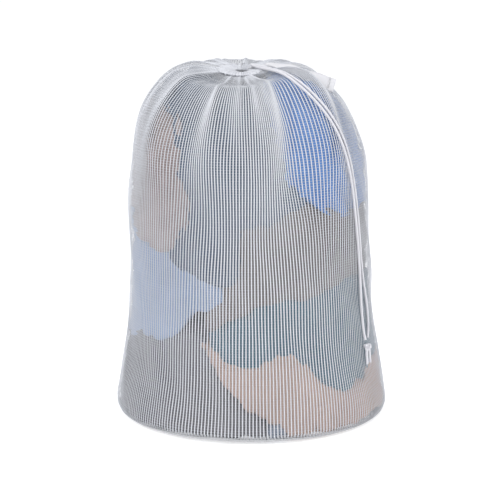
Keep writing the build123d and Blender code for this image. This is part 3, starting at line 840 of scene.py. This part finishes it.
HEM_STITCHES = 68
stitch_angle = (np.arange(HEM_STITCHES) + 0.5) * 2 * np.pi / HEM_STITCHES
stitch_radius = 0.0306 + 0.0004 * np.sin(7 * stitch_angle)
half_stitch = 0.36 * 2 * np.pi / HEM_STITCHES
hem_thread = stitches(
    "hem_lockstitch", hem_top(stitch_angle - half_stitch, stitch_radius) + 0.0001 * UP,
    hem_top(stitch_angle + half_stitch, stitch_radius) + 0.0001 * UP,
    np.tile(UP, (HEM_STITCHES, 1)), 0.00042, 0.0005, "bag", "white_thread")
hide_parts("hem_stitching")
print(HEM_STITCHES, "stitches round the hem")


# %% [markdown]
# The two strands leave the hem through one buttonhole. Its edge is satin stitch, thread laid side
# by side round the slot, so it is a thin ring with a ripple for each turn of thread. Inside the
# hem, the cord makes its loop round the mouth.

# %% Buttonhole and the cord in the hem
EXIT_ANGLE = math.radians(35.0)
EXIT_TURN = math.radians(61.4)
EXIT_SPACING = 0.0024
exit_middle = from_mouth(np.array(0.017), np.array(EXIT_ANGLE), np.array(0.0))
slot_long = np.array([math.cos(EXIT_TURN), math.sin(EXIT_TURN), 0])
slot_wide = np.cross(UP, slot_long)


def satin_ring(name, half_length, half_width, thread_radius, top):
    """A tube round a rounded slot, with a ripple of 0.55 mm: radius = r (1 + 0.12 cos(k s))."""
    turn = np.linspace(0, 2 * np.pi, 64, endpoint=False)
    straight = half_length - half_width
    along = half_width * np.cos(turn) + straight * np.clip(3 * np.cos(turn), -1, 1)
    line = exit_middle + along[:, None] * slot_long + (half_width * np.sin(turn))[:, None] * slot_wide
    line = along_curve(line + (top - thread_radius) * UP, 360, closed=True)
    _, side, third = frames_along(line, up=tuple(UP), closed=True)
    s = np.arange(len(line)) * np.linalg.norm(line[1] - line[0])
    ripple = 1 + 0.12 * np.cos(2 * np.pi * s / 0.00055)
    around = np.linspace(0, 2 * np.pi, 10, endpoint=False)
    ring = side[:, None] * np.cos(around)[None, :, None] + third[:, None] * np.sin(around)[None, :, None]
    points = line[:, None] + (thread_radius * ripple)[:, None, None] * ring
    rows, columns = points.shape[:2]
    faces = grid_faces(rows, columns, close_columns=True).tolist()
    last = (rows - 1) * columns
    faces += [[last + c, last + (c + 1) % columns, (c + 1) % columns, c] for c in range(columns)]
    uv = np.stack(np.broadcast_arrays(thread_radius * around[None, :], s[:, None]), axis=-1)
    return face_outwards(new_piece(name, points, faces, thread_white, uv=uv))


buttonhole = satin_ring("buttonhole_satin_stitch", 0.0059, 0.0034, 0.0007, 0.0007)
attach(buttonhole, "bag")
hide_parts("cord_buttonhole")

loop_turn = np.linspace(0, 2 * np.pi, 120, endpoint=False)
loop_line = from_mouth(np.full(120, 0.017), loop_turn, np.full(120, -0.0046))
hem_cord = braided_tube("drawstring_in_the_hem", loop_line, CORD_RADIUS, closed=True)
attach(hem_cord, "bag")
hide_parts("drawstring_loop")
for name, offset in (("drawstring_exit_a", -EXIT_SPACING), ("drawstring_exit_b", EXIT_SPACING)):
    foot = exit_middle + offset * slot_long
    line = foot + np.linspace(-0.0026, -0.0004, 8)[:, None] * UP
    rise = braided_tube(name + "_braid", line, CORD_RADIUS, step=0.0003)
    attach(rise, "bag")
    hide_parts(name)
print("buttonhole at", np.round(exit_middle * 1000, 1), "mm")


# %% [markdown]
# ## The strap
#
# A tape, folded double and closed by a bar tack, lies on the right shoulder. The bag is hung up by
# it. Its section is two plies with a groove between their edges, carried along the tape's middle
# line with a width and a sideways direction that change on the way. It widens from the hem, where
# it is pinched, to its free end, where the fold makes a rounded nose.

# %% Strap
STRAP_THICKNESS = 0.0018
# Middle of the tape, its width, and the direction of its width.
STRAP_STATIONS = [
    (0.0120, -0.0050, 0.4985, 0.009, 0.30, 0.94, 0.05),
    (0.0180, -0.0050, 0.5012, 0.010, 0.32, 0.93, 0.10),
    (0.0260, -0.0080, 0.5030, 0.012, 0.35, 0.90, 0.15),
    (0.0520, -0.0380, 0.5000, 0.019, 0.45, 0.75, 0.40),
    (0.0840, -0.0570, 0.4890, 0.022, 0.50, 0.62, 0.52),
    (0.1160, -0.0550, 0.4770, 0.022, 0.55, 0.50, 0.60),
]
strap_line = along_curve(STRAP_STATIONS, 320)
strap_centre, strap_width = strap_line[:, :3], strap_line[:, 3]
strap_along = unit(np.gradient(strap_centre, axis=0))
sideways = strap_line[:, 4:]
strap_side = unit(sideways - strap_along * (sideways * strap_along).sum(axis=1, keepdims=True))
strap_out = unit(np.cross(strap_side, strap_along))
strap_out *= np.sign(strap_out[:, 2].mean())
strap_travel = np.concatenate([[0], np.cumsum(np.linalg.norm(np.diff(strap_centre, axis=0), axis=1))])


def strap_surface(across, lift):
    """Points over the tape's middle line: across in half widths, lift above its middle.

    The tape cups by 4% of its width and waves slowly along its length.
    """
    cup = -0.04 * strap_width[:, None] * across ** 2
    wave = 0.0006 * np.sin(2 * np.pi * strap_travel / 0.045)[:, None] * (across + 0.3)
    return strap_centre[:, None] + strap_side[:, None] * (across * strap_width[:, None] / 2)[..., None] \
        + strap_out[:, None] * (cup + wave + lift)[..., None]


turn = np.linspace(0, 2 * np.pi, 48, endpoint=False)
strap_across = np.sign(np.cos(turn)) * np.abs(np.cos(turn)) ** 0.35
groove = 1 - 0.05 * np.exp(-(np.sin(turn) / 0.35) ** 2)
strap_lift = np.sign(np.sin(turn)) * np.abs(np.sin(turn)) ** 0.4 * STRAP_THICKNESS / 2
nose = np.sqrt(np.clip(1 - ((strap_travel - strap_travel[-1] + 0.0012) / 0.0013).clip(0, 1) ** 2, 0.04, 1))
strap_points = strap_surface((strap_across * groove)[None, :] * np.ones((320, 1)),
                             strap_lift[None, :] * nose[:, None])
strap_uv = np.stack(np.broadcast_arrays(strap_across[None, :] * strap_width[:, None] / 2,
                                        strap_travel[:, None]), axis=-1)
strap = new_piece("folded_tape_strap", strap_points, tube_faces(320, 48), tape_white, uv=strap_uv)
face_outwards(strap)
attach(strap, "strap")
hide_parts("hanging_strap")

rows = np.arange(24, 312, 9)
edge_starts, edge_ends, edge_ups = [], [], []
for edge in (-0.86, 0.86):
    for side_lift in (1, -1):
        seam_line = strap_surface(np.full((320, 1), edge), side_lift * STRAP_THICKNESS / 2)[:, 0]
        edge_starts.append(seam_line[rows])
        edge_ends.append(seam_line[np.minimum(rows + 6, 319)])
        edge_ups.append(side_lift * strap_out[rows])
strap_thread = stitches("strap_edge_stitches", np.concatenate(edge_starts), np.concatenate(edge_ends),
                        np.concatenate(edge_ups), 0.0003, 0.0002, "strap", "white_thread")
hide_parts("hanging_strap")

tack_row = int(np.argmin(np.abs(strap_travel - (strap_travel[-1] - 0.009))))
tack_across = np.linspace(-0.74, 0.74, 200)
tack_offset = tack_across * strap_width[tack_row] / 2
tack_line = strap_centre[tack_row] + strap_side[tack_row] * tack_offset[:, None] \
    + strap_out[tack_row] * (-0.04 * strap_width[tack_row] * tack_across ** 2)[:, None]
bar_tack = ruffled_band(
    "strap_bar_tack_thread", tack_line, np.tile(strap_along[tack_row], (200, 1)),
    np.tile(strap_out[tack_row], (200, 1)), 0.0013, STRAP_THICKNESS + 0.0012, 0.0006, thread_white)
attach(bar_tack, "strap")
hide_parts("strap_bar_tack")
print("strap", round(strap_travel[-1] * 1000), "mm long")


# %% [markdown]
# ## Cloth of the laundry
#
# The garments show between the ribs of the net as soft patches of colour. Their cloths differ in
# colour and in how they are made: fine jersey, plain weave, terry loops, fleece. One function
# makes them all, from the colours, the pitch of the weave and how rough the surface is.

# %% Cotton, fleece and terry
def garment_cloth(name, colour, shade, pitch, looped, relief, sheen):
    """Woven or looped cloth: a crossing weave, or round loops, with slow fading, soft creases and painted
    shade in the sharpest creases.
    """
    material = bpy.data.materials.new(name)
    material.use_nodes = True
    tree = material.node_tree
    tree.nodes.clear()
    nodes_new, link = tree.nodes.new, tree.links.new

    thread = nodes_new("NodeFrame")
    thread.label = "Weave or loops"
    fade = nodes_new("NodeFrame")
    fade.label = "Fading and painted crease shade"
    surface = nodes_new("NodeFrame")
    surface.label = "Cloth surface"

    where = nodes_new("ShaderNodeTexCoord")
    where.label = "Place on the garment"
    where.location = (-1500, 100)
    warp = nodes_new("ShaderNodeTexWave")
    warp.label = "Threads one way"
    warp.bands_direction = "Z"
    warp.inputs["Scale"].default_value = 0.314 / pitch
    warp.inputs["Distortion"].default_value = 1.2
    warp.inputs["Detail Scale"].default_value = 2
    warp.location = (-1250, 350)
    warp.parent = thread
    weft = nodes_new("ShaderNodeTexWave")
    weft.label = "Threads the other way"
    weft.bands_direction = "DIAGONAL"
    weft.inputs["Scale"].default_value = 0.20 / pitch
    weft.inputs["Distortion"].default_value = 1.2
    weft.location = (-1250, 120)
    weft.parent = thread
    weave = nodes_new("ShaderNodeMix")
    weave.label = "Plain weave"
    weave.data_type = "FLOAT"
    weave.inputs["Factor"].default_value = 0.5
    weave.location = (-1000, 250)
    weave.parent = thread
    loops = nodes_new("ShaderNodeTexVoronoi")
    loops.label = "Terry loops or fleece tufts"
    loops.inputs["Scale"].default_value = 0.5 / pitch
    loops.location = (-1000, 20)
    loops.parent = thread
    cloth_height = nodes_new("ShaderNodeMix")
    cloth_height.label = "How looped the cloth is"
    cloth_height.data_type = "FLOAT"
    cloth_height.inputs["Factor"].default_value = looped
    cloth_height.location = (-750, 200)
    cloth_height.parent = thread
    link(where.outputs["Object"], warp.inputs["Vector"])
    link(where.outputs["Object"], weft.inputs["Vector"])
    link(where.outputs["Object"], loops.inputs["Vector"])
    link(warp.outputs["Fac"], weave.inputs["A"])
    link(weft.outputs["Fac"], weave.inputs["B"])
    link(weave.outputs["Result"], cloth_height.inputs["A"])
    link(loops.outputs["Distance"], cloth_height.inputs["B"])

    slow = nodes_new("ShaderNodeTexNoise")
    slow.label = "Patches where the dye has faded"
    slow.inputs["Scale"].default_value = 16
    slow.inputs["Detail"].default_value = 4
    slow.inputs["Roughness"].default_value = 0.6
    slow.location = (-1250, -200)
    slow.parent = fade
    crease = nodes_new("ShaderNodeTexNoise")
    crease.label = "Small creases"
    crease.noise_type = "RIDGED_MULTIFRACTAL"
    crease.inputs["Scale"].default_value = 30
    crease.inputs["Detail"].default_value = 3
    crease.inputs["Distortion"].default_value = 0.8
    crease.location = (-1250, -450)
    crease.parent = fade
    faded = nodes_new("ShaderNodeMapRange")
    faded.label = "Half of the cloth a shade darker"
    faded.inputs["From Min"].default_value = 0.35
    faded.inputs["From Max"].default_value = 0.65
    faded.location = (-1000, -200)
    faded.parent = fade
    dye = nodes_new("ShaderNodeMix")
    dye.label = "Colour and its shade"
    dye.data_type = "RGBA"
    dye.inputs["A"].default_value = (*colour, 1)
    dye.inputs["B"].default_value = (*shade, 1)
    dye.location = (-500, -100)
    dye.parent = fade
    # Painted shade: the sharpest creases of the noise are darkened in colour, towards a third of the shade
    # colour, as if shadowed.
    crease_shade_amount = nodes_new("ShaderNodeMapRange")
    crease_shade_amount.label = "Painted shade only in the sharpest creases"
    crease_shade_amount.inputs["From Min"].default_value = 1.1
    crease_shade_amount.inputs["From Max"].default_value = 2.2
    crease_shade_amount.inputs["To Max"].default_value = 0.45
    crease_shade_amount.location = (-1000, -450)
    crease_shade_amount.parent = fade
    painted_crease_shade = nodes_new("ShaderNodeMix")
    painted_crease_shade.label = "Painted shade down in the creases"
    painted_crease_shade.data_type = "RGBA"
    painted_crease_shade.inputs["B"].default_value = (*(0.35 * value for value in shade), 1)
    painted_crease_shade.location = (-280, -60)
    painted_crease_shade.parent = fade
    link(where.outputs["Object"], slow.inputs["Vector"])
    link(where.outputs["Object"], crease.inputs["Vector"])
    link(crease.outputs["Fac"], crease_shade_amount.inputs["Value"])
    link(crease_shade_amount.outputs["Result"], painted_crease_shade.inputs["Factor"])
    link(dye.outputs["Result"], painted_crease_shade.inputs["A"])
    link(slow.outputs["Fac"], faded.inputs["Value"])
    link(faded.outputs["Result"], dye.inputs["Factor"])

    relief_creases = nodes_new("ShaderNodeBump")
    relief_creases.label = "Relief of the creases"
    relief_creases.inputs["Strength"].default_value = 0.35
    relief_creases.inputs["Distance"].default_value = 0.003
    relief_creases.location = (-500, -400)
    relief_creases.parent = surface
    relief_threads = nodes_new("ShaderNodeBump")
    relief_threads.label = "Relief of the threads"
    relief_threads.inputs["Strength"].default_value = relief
    relief_threads.inputs["Distance"].default_value = pitch
    relief_threads.location = (-280, -300)
    relief_threads.parent = surface
    cloth = nodes_new("ShaderNodeBsdfPrincipled")
    cloth.label = "Washed cloth"
    cloth.inputs["Roughness"].default_value = 0.9
    cloth.inputs["Specular IOR Level"].default_value = 0.2
    cloth.inputs["Sheen Weight"].default_value = sheen
    cloth.inputs["Sheen Roughness"].default_value = 0.5
    cloth.location = (0, 0)
    cloth.parent = surface
    out = nodes_new("ShaderNodeOutputMaterial")
    out.location = (300, 0)
    link(crease.outputs["Fac"], relief_creases.inputs["Height"])
    link(cloth_height.outputs["Result"], relief_threads.inputs["Height"])
    link(relief_creases.outputs["Normal"], relief_threads.inputs["Normal"])
    link(painted_crease_shade.outputs["Result"], cloth.inputs["Base Color"])
    link(relief_threads.outputs["Normal"], cloth.inputs["Normal"])
    link(cloth.outputs["BSDF"], out.inputs["Surface"])
    return material


# Garment, material slot, colour, its shade, pitch of the weave in metres, looped, relief, sheen.
GARMENTS = [
    ("laundry_taupe_shirt", "taupe_cotton", (0.420, 0.345, 0.330),
     (0.330, 0.270, 0.262), 0.0009, 0.0, 0.3, 0.03),
    ("laundry_lavender_sheet", "lavender_cotton", (0.330, 0.430, 0.620),
     (0.275, 0.365, 0.550), 0.0008, 0.0, 0.2, 0.03),
    ("laundry_slate_shirt", "slate_cotton", (0.135, 0.180, 0.245),
     (0.095, 0.130, 0.190), 0.0009, 0.0, 0.3, 0.03),
    ("laundry_blue_shirt", "blue_cotton", (0.170, 0.330, 0.680),
     (0.125, 0.260, 0.590), 0.0008, 0.0, 0.3, 0.03),
    ("laundry_grey_trousers", "grey_cotton", (0.255, 0.225, 0.215),
     (0.190, 0.168, 0.162), 0.0010, 0.0, 0.4, 0.03),
    ("laundry_teal_towel", "teal_towelling", (0.095, 0.190, 0.250),
     (0.066, 0.140, 0.195), 0.0016, 0.8, 0.8, 0.3),
    ("laundry_peach_sheet", "peach_cotton", (0.600, 0.430, 0.360),
     (0.490, 0.350, 0.295), 0.0008, 0.0, 0.2, 0.03),
    ("laundry_grey_sheet", "light_grey_cotton", (0.200, 0.195, 0.210),
     (0.145, 0.142, 0.156), 0.0008, 0.0, 0.2, 0.03),
    ("laundry_blue_socks", "steel_blue_knit", (0.300, 0.345, 0.430),
     (0.220, 0.260, 0.340), 0.0012, 0.3, 0.6, 0.2),
    ("laundry_white_towel", "white_towelling", (0.62, 0.61, 0.59),
     (0.52, 0.51, 0.49), 0.0016, 0.9, 0.8, 0.3),
    ("laundry_sand_blanket", "sand_fleece", (0.46, 0.38, 0.28),
     (0.36, 0.29, 0.21), 0.0018, 0.9, 0.6, 0.4),
    ("laundry_charcoal_jumper", "charcoal_knit", (0.055, 0.057, 0.063),
     (0.038, 0.039, 0.044), 0.0022, 0.2, 0.9, 0.2),
    ("laundry_denim_trousers", "denim", (0.055, 0.085, 0.170),
     (0.032, 0.050, 0.105), 0.0008, 0.0, 0.5, 0.05),
    # Painted shade: the near-black socks lie under the mouth, seen only through its hole, a dark thing put
    # there so the hole reads as deep shadow.
    ("laundry_dark_socks", "black_knit", (0.012, 0.012, 0.014),
     (0.008, 0.008, 0.009), 0.0012, 0.2, 0.5, 0.03),
]


# %% [markdown]
# ## The laundry itself
#
# A garment pressed into a bag has soft rounded edges, swells into its neighbours and breaks into
# folds where the net presses on it. Each piece starts from its own CAD block: the copy is merged,
# remeshed with voxels so that its skin is even, and swollen a little as cloth under pressure.
# Last, its outer side is pressed against the net, and folded in from there.

# %% Garment shapes
VOXEL = 0.005
PRESS_FRAMES = 12
MAX_SWELL = 0.006
GAP_TO_NET = 0.0022                  # at the sides; the pleats of the top need over twice as much


def evaluated_copy(piece):
    """Applies all of a piece's modifiers to its mesh."""
    bpy.context.view_layer.update()
    result = bpy.data.meshes.new_from_object(piece.evaluated_get(bpy.context.evaluated_depsgraph_get()))
    old = piece.data
    piece.modifiers.clear()
    piece.data = result
    bpy.data.meshes.remove(old)
    return piece


def vertex_array(mesh, what="co"):
    """The vertices' places or normals as an array of rows."""
    values = np.empty(len(mesh.vertices) * 3)
    (mesh.vertices if what == "co" else mesh.vertex_normals).foreach_get(
        "co" if what == "co" else "vector", values)
    return values.reshape(-1, 3)


def remeshed_block(name, node):
    """A copy of the CAD block with merged corners, an even voxel skin and softened edges."""
    mesh = nodes[node].data.copy()
    edit = bmesh.new()
    edit.from_mesh(mesh)
    bmesh.ops.remove_doubles(edit, verts=edit.verts, dist=1e-5)
    bmesh.ops.recalc_face_normals(edit, faces=edit.faces)
    edit.to_mesh(mesh)
    edit.free()
    mesh.materials.clear()
    piece = bpy.data.objects.new(name, mesh)
    bpy.context.collection.objects.link(piece)
    remesh = piece.modifiers.new("even skin", "REMESH")
    remesh.mode = "VOXEL"
    remesh.voxel_size = VOXEL
    soften = piece.modifiers.new("soft edges", "SMOOTH")
    soften.factor = 0.5
    soften.iterations = 7
    return evaluated_copy(piece)


def swell(piece):
    """Cloth with a little pressure inside, no gravity, then each point is held near its start."""
    start = vertex_array(piece.data)
    cloth = piece.modifiers.new("swell", "CLOTH")
    cloth.settings.quality = 4
    cloth.settings.mass = 0.3
    cloth.settings.tension_stiffness = 12
    cloth.settings.compression_stiffness = 6
    cloth.settings.bending_stiffness = 0.2
    cloth.settings.use_pressure = True
    cloth.settings.uniform_pressure_force = 4
    cloth.settings.effector_weights.gravity = 0
    cloth.point_cache.frame_start = 1
    cloth.point_cache.frame_end = PRESS_FRAMES
    for frame_number in range(1, PRESS_FRAMES + 1):
        bpy.context.scene.frame_set(frame_number)
    evaluated_copy(piece)
    bpy.context.scene.frame_set(1)
    moved = vertex_array(piece.data) - start
    distance = np.linalg.norm(moved, axis=1, keepdims=True)
    held = start + moved * np.minimum(1, MAX_SWELL / np.maximum(distance, 1e-9))
    piece.data.vertices.foreach_set("co", held.ravel())
    return piece


def folds(points, seed):
    """How deep cloth is folded in at a point, from 0 to about 1.

    Three waves whose directions wander, 1 - |sin| each, so the creases are narrow and the cloth
    between them is round.
    """
    local = np.random.default_rng(seed)
    depth = np.zeros(len(points))
    for pitch, weight in ((0.055, 0.5), (0.034, 0.32), (0.021, 0.18)):
        direction = unit(local.normal(size=3) * (1.0, 0.6, 0.8))
        wander = unit(local.normal(size=3))
        bend = 0.9 * np.sin(points @ wander * 2 * np.pi / (3.1 * pitch) + local.uniform(0, 6)) \
            + 0.5 * np.sin(points @ np.roll(wander, 1) * 2 * np.pi / (1.7 * pitch) + local.uniform(0, 6))
        wave = np.sin(np.pi * (points @ direction) / pitch + bend)
        depth += weight * (1 - np.abs(wave)) ** 1.6
    return depth


PROFILE_CENTRE = 0.55
profile_turn = np.arctan2(meridian[:, 1] - PROFILE_CENTRE * HEIGHT, meridian[:, 0])


def held_in_net(points, gap, depth):
    """Presses a garment's outer side against the net, and folds it in from there by a depth.

    Seen from a centre a little over half way up the bag's axis, each direction meets the net once,
    so the angle from that centre gives the share of the way up, and the net's own point there.
    The room along a direction d is (net point - centre) . n / (d . n), less the gap. A point less
    than 12 mm inside that, or past it, moves to it; one more than 30 mm inside stays.
    """
    centre = np.stack([TOP_LEAN * (points[:, 2] / HEIGHT) ** 2, 0 * points[:, 2],
                       np.full(len(points), PROFILE_CENTRE * HEIGHT)], axis=1)
    away = points - centre
    far = np.maximum(np.linalg.norm(away, axis=1), 1e-6)
    wanted = np.arctan2(away[:, 1], away[:, 0])
    share = np.interp(np.arctan2(away[:, 2], np.hypot(away[:, 0], away[:, 1])), profile_turn, shares)
    angle = wanted.copy()
    for _ in range(3):
        skin, out = bag_surface(angle, share)
        beside = skin - centre
        angle -= np.angle(np.exp(1j * (np.arctan2(beside[:, 1], beside[:, 0]) - wanted)))
    skin, out = bag_surface(angle, share)
    facing = np.maximum((away * out).sum(axis=1) / far, 0.3)
    gap = gap * (1 + 1.3 * smoothstep(share, 0.68, 0.82))
    room = (((skin - centre) * out).sum(axis=1) - gap) / facing
    pressed = (1 - smoothstep(room - far, 0.012, 0.030)) * smoothstep(share, 0.004, 0.03)
    change = room / far - 1
    stretch = 1 + np.minimum(change, 0) + pressed * np.maximum(change, 0) - depth / far
    held = centre + away * stretch[:, None]
    held[:, 2] = np.maximum(held[:, 2], 0.0026)
    return held


def garment(node, material, seed, fold_depth):
    """The whole way from CAD block to folded garment."""
    piece = remeshed_block(node.replace("laundry_", "folded_"), node)
    swell(piece)
    points = vertex_array(piece.data)
    points = held_in_net(points, GAP_TO_NET, fold_depth * folds(points, seed))
    piece.data.vertices.foreach_set("co", points.ravel())
    piece.data.polygons.foreach_set("use_smooth", np.full(len(piece.data.polygons), True))
    piece.data.materials.append(material)
    piece.data.update()
    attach(piece, "bag")
    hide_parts(node)
    return piece


for number, (node, slot, colour, shade, pitch, looped, relief, sheen) in enumerate(GARMENTS):
    material = garment_cloth(slot, colour, shade, pitch, looped, relief, sheen)
    piece = garment(node, material, seed=20 + number, fold_depth=0.013)
    print(piece.name, len(piece.data.polygons), "faces")


# %% [markdown]
# ## Floor, surround and light
#
# A pale floor runs on for 40 m each way, so no wall stands in the way of a view from behind. It
# glows a little, as the floor of a light tent does. Light is soft and comes from large panels: one
# high on the left in front, a weaker one on the right, and one above, so the ribs cast short soft
# shadows.

# %% Floor and lights
floor_reach = np.array([-40.0, 40.0])
floor_points = np.stack(np.broadcast_arrays(floor_reach[None, :], floor_reach[:, None], 0.0), axis=-1)
floor_paint = bpy.data.materials.new("pale_floor")
floor_paint.use_nodes = True
paint = floor_paint.node_tree.nodes["Principled BSDF"]
paint.inputs["Base Color"].default_value = (0.85, 0.85, 0.85, 1)
paint.inputs["Emission Color"].default_value = (1, 1, 1, 1)
paint.inputs["Emission Strength"].default_value = 0.48
paint.inputs["Roughness"].default_value = 0.9
floor_grain = floor_paint.node_tree.nodes.new("ShaderNodeTexNoise")
floor_grain.label = "Faint grain of the paper"
floor_grain.location = (-600, -200)
floor_grain.inputs["Scale"].default_value = 60
floor_bump = floor_paint.node_tree.nodes.new("ShaderNodeBump")
floor_bump.label = "Its slight relief"
floor_bump.location = (-300, -200)
floor_bump.inputs["Strength"].default_value = 0.02
floor_paint.node_tree.links.new(floor_grain.outputs["Fac"], floor_bump.inputs["Height"])
floor_paint.node_tree.links.new(floor_bump.outputs["Normal"], paint.inputs["Normal"])
floor = new_piece("paper_floor", floor_points, grid_faces(2, 2), floor_paint)

world = bpy.data.worlds.new("pale_surround")
world.use_nodes = True
surround = world.node_tree.nodes["Background"]
surround.inputs["Color"].default_value = (0.95, 0.97, 1.0, 1)
surround.inputs["Strength"].default_value = 0.68
bpy.context.scene.world = world
bpy.context.scene.view_settings.view_transform = "Standard"


def soft_panel(name, place, aim, size, power, colour):
    """A square area light at a place, turned to face a point."""
    data = bpy.data.lights.new(name, "AREA")
    data.size = size
    data.energy = power
    data.color = colour
    lamp = bpy.data.objects.new(name, data)
    bpy.context.collection.objects.link(lamp)
    lamp.location = place
    lamp.rotation_euler = (Vector(aim) - Vector(place)).to_track_quat("-Z", "Y").to_euler()
    return lamp


soft_panel("panel_left", (-1.6, -2.0, 1.7), (0, 0, 0.25), 1.6, 34, (1, 1, 1))
soft_panel("panel_right", (1.9, -1.6, 1.0), (0, 0, 0.25), 1.4, 15, (1, 1, 1))
soft_panel("panel_above", (0, 0.2, 2.3), (0, 0, 0.3), 1.8, 22, (1, 1, 1))
